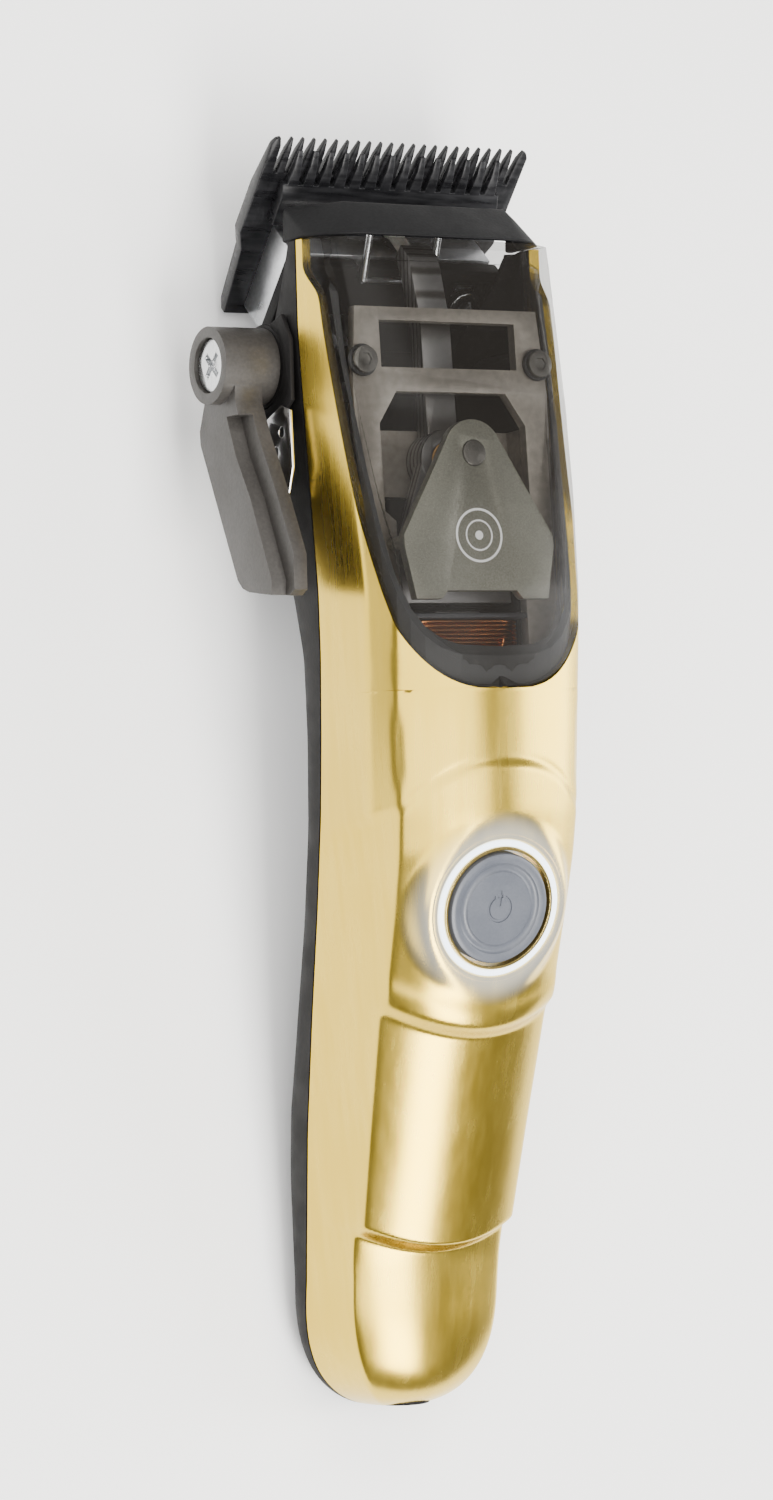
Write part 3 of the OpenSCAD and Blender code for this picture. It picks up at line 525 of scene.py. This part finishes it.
dress(lid, gold, "shell", "lid_gold", "front_lid")

# Window: one piece of smoked clear plastic, moulded 1.5 mm thick with a thicker rim that sits in
# the lid on a black gasket. The inside of the rim is square, so it shows as a second line.
pane_rows = 84.25 + np.concatenate([[0.02, 0.12, 0.3, 0.55, 0.9, 1.4, 2.0],
                                    np.arange(2.6, 66.7, 0.65), [67.0, 67.15]])
share = np.concatenate([[0, 0.012, 0.03], np.linspace(0.05, 0.95, 85), [0.97, 0.988, 1]])
limit = opening(pane_rows, 0.25)[:, None]
swing = limit + (1600 - 2 * limit) * share[None, :]
pane_points = lid_points(pane_rows, np.minimum(swing, 1600 - swing), np.where(share < 0.5, -1, 1)[None, :])
pane = skin("window_pane", pane_points)
border = np.full(pane_points.shape[:2], 99.0)
outline = np.concatenate([pane_points[:, 0], pane_points[:, -1], pane_points[0], pane_points[-1]])
for p in outline[::2]:
    border = np.minimum(border, np.linalg.norm(pane_points - p, axis=-1))
rim = pane.vertex_groups.new(name="rim")
for i, d in enumerate(border.reshape(-1)):
    rim.add([i], float(1 - 0.53 * eased_step((d - 2.4) / 0.7)), "REPLACE")
modify(pane, "SOLIDIFY", thickness=3.2 * mm, offset=-1, vertex_group="rim")
tidy(pane, 50)
pane.vertex_groups.clear()
modify(pane, "BEVEL", width=0.45 * mm, segments=3, limit_method="ANGLE", angle_limit=math.radians(60))
tidy(pane, 40)
smoke = Paint("window_smoke", (0.02, 0.018, 0.016), 0.24, Specular_IOR_Level=0.12)
haze = smoke.noise(160, 3.0)
tilt = smoke.add("ShaderNodeLayerWeight", {}, {"Blend": 0.35}, 1)
smoke.set(Alpha=smoke.band(haze, 0.3, 0.7) * 0.03 + tilt * 0.3 + 0.22,
          Roughness=smoke.band(haze, 0.3, 0.7) * 0.05 + 0.22)
smoke.bump(smoke.noise(900, 2.0), 0.000004, 0.4)
dress(pane, smoke, "shell", "window_smoke", "window")
rubber = Paint("gasket_rubber", (0.012, 0.012, 0.012), 0.7).weather(3000, 0.2, 0.1, 0.00001)


def keep(node, paint):
    """leaves a CAD piece as it is and gives it this paint"""
    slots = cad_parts[node].data.materials
    for i in range(len(slots)):
        slots[i] = paint.mat
    if not len(slots):
        slots.append(paint.mat)


keep("window_gasket", rubber)

# Lid screws: four self-tapping screws of zinc-plated steel with hexagon sockets, driven from below
# into the lid's bosses. Every metal piece cut or pressed in the works gets its edges broken here.
def eased(node, width, paint, body, slot, segments=2, angle=32, smooth=38):
    """a copy of a CAD piece, merged, with its sharp edges broken by a small round"""
    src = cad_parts[node]
    obj = bpy.data.objects.new(node + "_piece", src.data.copy())
    scene.collection.objects.link(obj)
    active(obj)
    bpy.ops.object.mode_set(mode="EDIT")
    bpy.ops.mesh.select_all(action="SELECT")
    bpy.ops.mesh.remove_doubles(threshold=2e-6)
    bpy.ops.mesh.dissolve_limited(angle_limit=math.radians(0.6))
    bpy.ops.object.mode_set(mode="OBJECT")
    modify(obj, "BEVEL", width=width * mm, segments=segments, limit_method="ANGLE",
           angle_limit=math.radians(angle), use_clamp_overlap=True)
    active(obj)
    bpy.ops.object.shade_smooth_by_angle(angle=math.radians(smooth))
    return dress(obj, paint, body, slot, node)


steel = Paint("steel_bright", (0.56, 0.57, 0.58), 0.27,
              Metallic=1.0).weather(2400, 0.10, 0.12, 0.000006, (1, 0.2, 1))
eased("housing_screws", 0.12, steel, "shell", "steel_bright")

# Charging inlet: a round socket moulded in black nylon with a gilt brass pin down its middle. It is
# pressed into a hole in the tail end of the lid, just above the seam.
eased("charge_inlet", 0.2, nylon, "shell", "housing_black")
brass = Paint("pin_brass", (0.72, 0.52, 0.2), 0.22, Metallic=1.0).weather(2500, 0.08, 0.1, 0.000005)
eased("inlet_pin", 0.25, brass, "shell", "pin_brass")

# Battery: a steel lithium cell in a shrunk film sleeve, lying along the tail, with a nickel strip
# spot-welded across each end.
cell_steel = Paint("cell_steel", (0.6, 0.61, 0.62), 0.3,
                   Metallic=1.0).weather(1500, 0.08, 0.1, 0.000005, (1, 0.15, 1))
eased("battery_cell", 0.4, cell_steel, "shell", "cell_steel")
film = Paint("cell_wrap", (0.03, 0.12, 0.32), 0.28, Coat_Weight=0.3).weather(900, 0.12, 0.1, 0.00002)
eased("battery_sleeve", 0.1, film, "shell", "cell_wrap")
eased("battery_tabs", 0.06, cell_steel, "shell", "cell_steel")

# Board: a glass-epoxy board under the button with a copper pattern below its green mask, five
# black chips and the push switch that the button's stem works.
mask = Paint("board_green", (0.012, 0.11, 0.05), 0.32, Coat_Weight=0.4)
cells = mask.add("ShaderNodeTexVoronoi", {"distance": "CHEBYCHEV", "feature": "F1"},
                 {"Vector": mask.place(), "Scale": 620}, 0)
mask.set(Base_Color=mask.blend(mask.band(cells, 0.30, 0.36), (0.022, 0.17, 0.08, 1), (0.01, 0.09, 0.04, 1)),
         Roughness=mask.band(cells, 0.3, 0.4) * 0.1 + 0.28)
mask.bump(cells, 0.00002)
eased("circuit_board", 0.08, mask, "shell", "board_green")
chip = Paint("chip_black", (0.02, 0.02, 0.021), 0.55).weather(4000, 0.2, 0.1, 0.00001)
eased("board_chips", 0.08, chip, "shell", "chip_black")
eased("touch_switch", 0.12, chip, "shell", "chip_black")

# Motor core: a stack of 0.5 mm silicon-steel sheets in the shape of an E, riveted together. The
# swinging armature is cut from the same stock and carries two sintered magnets.
core = Paint("core_steel", (0.2, 0.2, 0.21), 0.42, Metallic=0.9)
sheets = core.add("ShaderNodeTexWave", {"bands_direction": "Z", "wave_profile": "TRI"},
                  {"Vector": core.place(), "Scale": 310, "Distortion": 0.3}, 1)
core.set(Base_Color=core.blend(core.band(sheets, 0.1, 0.5), (0.07, 0.065, 0.06, 1), (0.24, 0.235, 0.23, 1)),
         Roughness=core.noise(1500) * 0.2 + 0.33)
core.bump(sheets, 0.00004)
eased("magnet_core", 0.2, core, "shell", "core_steel")
eased("armature_arm", 0.25, core, "armature", "core_steel")
magnet = Paint("magnet_grey", (0.32, 0.32, 0.33), 0.35, Metallic=0.8).weather(1800, 0.12, 0.1, 0.00001)
eased("arm_magnets", 0.2, magnet, "armature", "magnet_grey")
bronze = Paint("bush_bronze", (0.45, 0.27, 0.11), 0.38, Metallic=1.0).weather(3500, 0.2, 0.15, 0.00002)
eased("pivot_bushes", 0.15, bronze, "armature", "bush_bronze")
acetal = Paint("tip_nylon", (0.72, 0.7, 0.62), 0.4, Subsurface_Weight=0.05).weather(1800, 0.05, 0.1, 0.00001)
eased("drive_tip", 0.1, acetal, "armature", "tip_nylon")

# Coil: enamelled copper wire wound round a dark moulded former on the middle leg of the core. Its
# outer layer lies turn beside turn, and one end crosses the face to its solder post.
dull_black = Paint("former_dark", (0.028, 0.029, 0.034), 0.45).weather(2200, 0.15, 0.1, 0.00001)
eased("coil_former", 0.25, dull_black, "shell", "former_dark")
turns = []
wire, half_x, half_z, mid_z = 0.31, 9.25, 5.2, -10.15
for layer in range(2):
    for k in range(13):
        turn_y = -23.2 - 0.8 - 0.42 - k * 0.635 - (0.31 if layer else 0)
        if turn_y < -32.2:
            continue
        bpy.ops.object.select_all(action="DESELECT")
        bpy.ops.mesh.primitive_torus_add(major_segments=44, minor_segments=8, major_radius=4 * mm,
                                         minor_radius=wire * mm)
        loop = bpy.context.object
        hx, hz = half_x - layer * 0.5, half_z - layer * 0.5
        for v in loop.data.vertices:
            a = math.atan2(v.co.y, v.co.x)
            r = math.hypot(v.co.x, v.co.y) - 4 * mm
            c, s = math.cos(a), math.sin(a)
            px, pz = hx * math.copysign(abs(c) ** 0.28, c), hz * math.copysign(abs(s) ** 0.28, s)
            nx, nz = math.copysign(abs(c) ** 1.72 / hx, c), math.copysign(abs(s) ** 1.72 / hz, s)
            n = math.hypot(nx, nz)
            v.co = (px * mm + r * nx / n, (turn_y + 0.03 * math.sin(5 * a + k)) * mm + v.co.z,
                    (mid_z + pz) * mm + r * nz / n)
        turns.append(loop)
coil = merge(turns[0], *turns[1:])
coil.name = "coil_turns"
bpy.ops.object.select_all(action="DESELECT")
bpy.ops.mesh.primitive_uv_sphere_add(segments=12, ring_count=8, radius=wire * mm)
stub = bpy.context.object
stub_place = Matrix.Translation((4.6 * mm, -30.6 * mm,
                                 -4.35 * mm)) @ Matrix.Rotation(math.radians(-20), 4, "Z")
stub.data.transform(stub_place @ Matrix.Diagonal((1, 14, 1, 1)))
merge(coil, stub)
coil.data.transform(motor_place)
tidy(coil, 60)
copper = Paint("coil_copper", (0.72, 0.28, 0.09), 0.24, Metallic=1.0,
               Coat_Weight=0.6).weather(1300, 0.16, 0.1, 0.00001, (0.2, 1, 1))
dress(coil, copper, "shell", "coil_copper", "coil_winding")
flex = Paint("wire_red", (0.2, 0.018, 0.015), 0.42).weather(1600, 0.12, 0.1, 0.00001)
eased("coil_leads", 0.1, flex, "shell", "wire_red")

# Motor frame: a bracket die cast in zinc and left with its grey, slightly grained skin. Two screws
# with dark washers hold it to the housing's posts, and the armature's pin stands up through it.
cast = Paint("frame_grey", (0.26, 0.235, 0.2), 0.42, Metallic=0.55).weather(900, 0.14, 0.14, 0.00003)
eased("motor_frame", 0.3, cast, "shell", "frame_grey")
dark_zinc = Paint("screw_dark", (0.10, 0.095, 0.085), 0.42, Metallic=0.7).weather(2400, 0.14, 0.12, 0.000008)
eased("frame_screws", 0.15, dark_zinc, "shell", "steel_bright")
eased("frame_washers", 0.12, rubber, "shell", "gasket_rubber")
eased("pivot_pin", 0.2, dark_zinc, "shell", "steel_bright")

# Motor cover: a pressed plate over the armature, its rim rolled over, with a plain target of two
# pale printed rings where a maker would put a badge. Two posts under it stand on the frame.
plate = Paint("cover_grey", (0.36, 0.34, 0.30), 0.38, Metallic=0.6)
grain = plate.noise(3600, 3.0)
ring_at = plate.add("ShaderNodeVectorMath", {"operation": "LENGTH"},
                    {0: plate.place((0, 0.1068, 0.0406), (0, 0, 0), (1, 1, 0))}, 1)
outer_ring = plate.band(ring_at, 0.00365, 0.0037) * (1 - plate.band(ring_at, 0.0040, 0.00405))
inner_ring = plate.band(ring_at, 0.00205, 0.0021) * (1 - plate.band(ring_at, 0.0023, 0.00235))
dot = 1 - plate.band(ring_at, 0.00065, 0.0007)
print_mark = outer_ring + inner_ring + dot
metal = plate.blend(plate.band(grain, 0.35, 0.65), (0.165, 0.162, 0.13, 1), (0.20, 0.197, 0.16, 1))
plate.set(Base_Color=plate.blend(print_mark, metal, (0.8, 0.8, 0.78, 1)), Roughness=grain * 0.12 + 0.32,
          Metallic=0.6 - print_mark * 0.6)
plate.bump(grain, 0.000006)
eased("motor_cover", 0.45, plate, "shell", "cover_grey", 3)

# Blade seat and carrier: a black nylon bridge in the head, screwed to a bright zinc carrier that
# slides with the comb blade. A bent wire spring in the bridge keeps the carrier from rattling.
eased("blade_seat", 0.3, nylon, "shell", "housing_black")
zinc = Paint("carrier_zinc", (0.62, 0.63, 0.65), 0.33, Metallic=1.0).weather(1500, 0.1, 0.14, 0.00001)
eased("blade_carrier", 0.35, zinc, "comb", "carrier_zinc")
eased("seat_screws", 0.15, steel, "comb", "steel_bright")
keep("tension_spring", steel)

# Comb blade: hardened steel, ground to a wedge at the teeth, then coated black. Its teeth and
# corners are polished smooth so they don't scratch, and two screws hold it to the carrier.
coated = Paint("blade_black", (0.010, 0.010, 0.011), 0.36, Metallic=0.2, Specular_IOR_Level=0.3)
ground = coated.noise(1400, 4.0, (0.12, 1, 1))
rub = coated.noise(260, 3.0)
worn = coated.band(ground * 0.6 + rub * 0.4, 0.35, 0.7)
coated.set(Base_Color=coated.blend(worn, (0.007, 0.007, 0.008, 1), (0.02, 0.02, 0.022, 1)),
           Roughness=coated.band(ground, 0.3, 0.7) * 0.16 + 0.26)
coated.bump(ground, 0.000012)
eased("fixed_blade", 0.14, coated, "comb", "blade_black")
eased("blade_screws", 0.15, steel, "comb", "steel_bright")

# Cutter: the smaller upper blade with its own coarser teeth, stepped in height, driven from side
# to side by a nylon block that the armature's tip runs in.
eased("cutter_blade", 0.12, coated, "cutter", "blade_black")
eased("drive_block", 0.3, dull_black, "cutter", "former_dark")

# Nose cover: a separate moulding in dark grey nylon that closes the head in front of the window
# and clips over the cutter. Its face is fine-grained and its corners are rounded.
shell_grey = Paint("nose_black", (0.009, 0.009, 0.0095), 0.62,
                   Specular_IOR_Level=0.1).weather(2400, 0.16, 0.12, 0.00003)
eased("nose_cover", 0.9, shell_grey, "shell", "nose_black", 4)

# Taper lever: one moulding in glass-filled nylon, a thick hub with a flat paddle hanging from it.
# A large steel screw holds it on a cam shaft that turns in a bush, over a sprung detent leaf.
paddle = Paint("lever_black", (0.034, 0.031, 0.028), 0.46,
               Specular_IOR_Level=0.35).weather(2000, 0.18, 0.12, 0.00003)
eased("taper_lever", 0.75, paddle, "lever", "lever_black", 4)
eased("lever_screw", 0.22, steel, "lever", "steel_bright")
eased("cam_shaft", 0.25, steel, "lever", "steel_bright")
eased("lever_bushing", 0.25, nylon, "shell", "housing_black")
eased("detent_holder", 0.12, nylon, "shell", "housing_black")
chrome = Paint("leaf_chrome", (0.72, 0.72, 0.73), 0.14, Metallic=1.0).weather(1200, 0.06, 0.08, 0.000004)
eased("detent_leaf", 0.1, chrome, "shell", "leaf_chrome")

# Power button: a soft-touch cap with a sunk ring and a press symbol, in a polished gold ring. A
# clear ring round it carries the lamp's light.
cap_profile = [(0.05, 0.30), (1.62, 0.30), (1.70, 0.12), (2.05, 0.12), (2.13, 0.30), (4.6, 0.26),
               (5.45, 0.22), (5.62, 0.08),
               (5.9, -0.02), (6.4, -0.02), (6.68, 0.08), (6.85, 0.26), (7.3, 0.35), (7.85, 0.33),
               (8.15, 0.2), (8.3, -0.1),
               (8.3, -2.2), (2.05, -2.2), (2.05, -5.45), (0.05, -5.45)]
cap = turned("power_cap", cap_profile, ring=False, sides=96)
bar = block("symbol_slot", (-0.2, 0.35, 0.14), (0.2, 2.7, 2))
cut(cap, [bar])
merge(cap, block("symbol_land", (-0.85, 1.3, -0.6), (-0.42, 2.3, 0.295)),
      block("symbol_land", (0.42, 1.3, -0.6), (0.85, 2.3, 0.295)))
cap.data.transform(button_place)
tidy(cap, 30)
touch = Paint("button_grey", (0.075, 0.082, 0.1), 0.38).weather(2600, 0.08, 0.1, 0.00001)
dress(cap, touch, "button", "button_grey", "power_button")
trim = Paint("trim_gold", (0.8, 0.6, 0.2), 0.16, Metallic=1.0).weather(3000, 0.05, 0.06, 0.000005)
halo_profile = [(8.75, -3.0), (9.25, -3.0), (9.25, 0.1), (9.15, 0.22), (8.98, 0.25),
                (8.82, 0.22), (8.75, 0.1)]
halo_ring = turned("gold_ring", halo_profile, button_place, 96)
dress(halo_ring, trim, "shell", "trim_gold", "button_ring")
glow_profile = [(9.3, -3.0), (10.25, -3.0), (10.25, -0.1), (10.1, 0.02), (9.8, 0.05),
                (9.45, 0.02), (9.3, -0.1)]
glow_ring = turned("light_guide", glow_profile, button_place, 96)
glow = Paint("light_white", (0.86, 0.92, 1.0), 0.35)
flow = glow.noise(500, 2.0)
glow.set(Emission_Color=glow.blend(flow, (0.60, 0.80, 1.0, 1), (0.82, 0.92, 1.0, 1)), Emission_Strength=2.2,
         Roughness=flow * 0.1 + 0.3)
dress(glow_ring, glow, "shell", "light_white", "light_ring")
